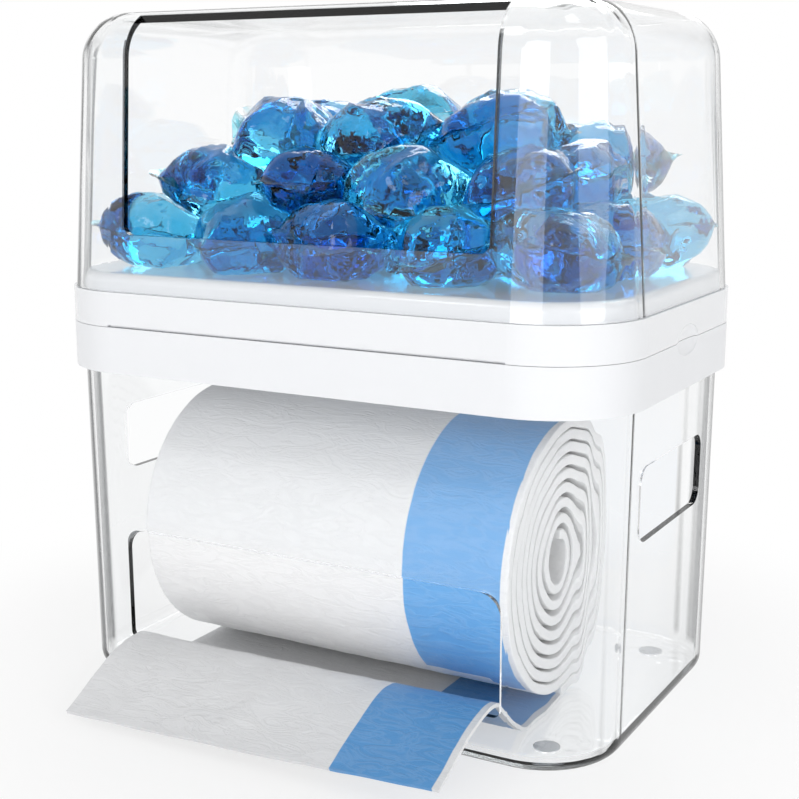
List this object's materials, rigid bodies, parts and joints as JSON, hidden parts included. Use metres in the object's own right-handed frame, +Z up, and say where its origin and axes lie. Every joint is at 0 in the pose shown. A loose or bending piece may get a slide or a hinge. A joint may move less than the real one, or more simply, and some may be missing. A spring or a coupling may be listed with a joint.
{
  "type": "trash bag and pod dispenser",
  "caption": "Clear two-tier dispenser: a tub with a front window feeds bags from a roll, and a white tray above holds a heap of dose pods under a lift-off clear cover.",
  "frame": {"origin": "middle of the tub's base face, on the surface it stands on", "axes": "+Z up, the front with both windows faces -Y, +X to the right seen from the front"},
  "size_m": [0.254, 0.2078, 0.28],
  "materials": {
    "clear_plastic": "clear, polished",
    "white_plastic": "white, satin",
    "bag_film": "white film with fine wrinkles, blue drawstring hem",
    "foot_pad": "clear, soft",
    "pod_gel": "blue gel in clear film"
  },
  "bodies": {
    "tub": {"bag_tub": "clear_plastic", "collar_ring": "white_plastic", "foot_front_left": "foot_pad", "foot_front_right": "foot_pad", "foot_back_left": "foot_pad", "foot_back_right": "foot_pad", "bag_roll": "bag_film", "leading_bag": "bag_film"},
    "tray": {"pod_tray": "white_plastic", "pod_01": "pod_gel", "pod_02": "pod_gel", "pod_03": "pod_gel", "pod_04": "pod_gel", "pod_05": "pod_gel", "pod_06": "pod_gel", "pod_07": "pod_gel", "pod_08": "pod_gel", "pod_09": "pod_gel", "pod_10": "pod_gel", "pod_11": "pod_gel", "pod_12": "pod_gel", "pod_13": "pod_gel", "pod_14": "pod_gel", "pod_15": "pod_gel", "pod_16": "pod_gel", "pod_17": "pod_gel", "pod_18": "pod_gel", "pod_19": "pod_gel", "pod_20": "pod_gel", "pod_21": "pod_gel", "pod_22": "pod_gel", "pod_23": "pod_gel", "pod_24": "pod_gel", "pod_25": "pod_gel", "pod_26": "pod_gel", "pod_27": "pod_gel", "pod_28": "pod_gel", "pod_29": "pod_gel", "pod_30": "pod_gel", "pod_31": "pod_gel", "pod_32": "pod_gel", "pod_33": "pod_gel"},
    "cover": {"pod_cover": "clear_plastic"}
  },
  "joints": [
    {"name": "tray_lift", "type": "slide", "parent": "tub", "child": "tray", "axis": [0, 0, 1], "range_m": [0, 0.12]},
    {"name": "cover_lift", "type": "slide", "parent": "tray", "child": "cover", "axis": [0, 0, 1], "range_m": [0, 0.12]}
  ]
}
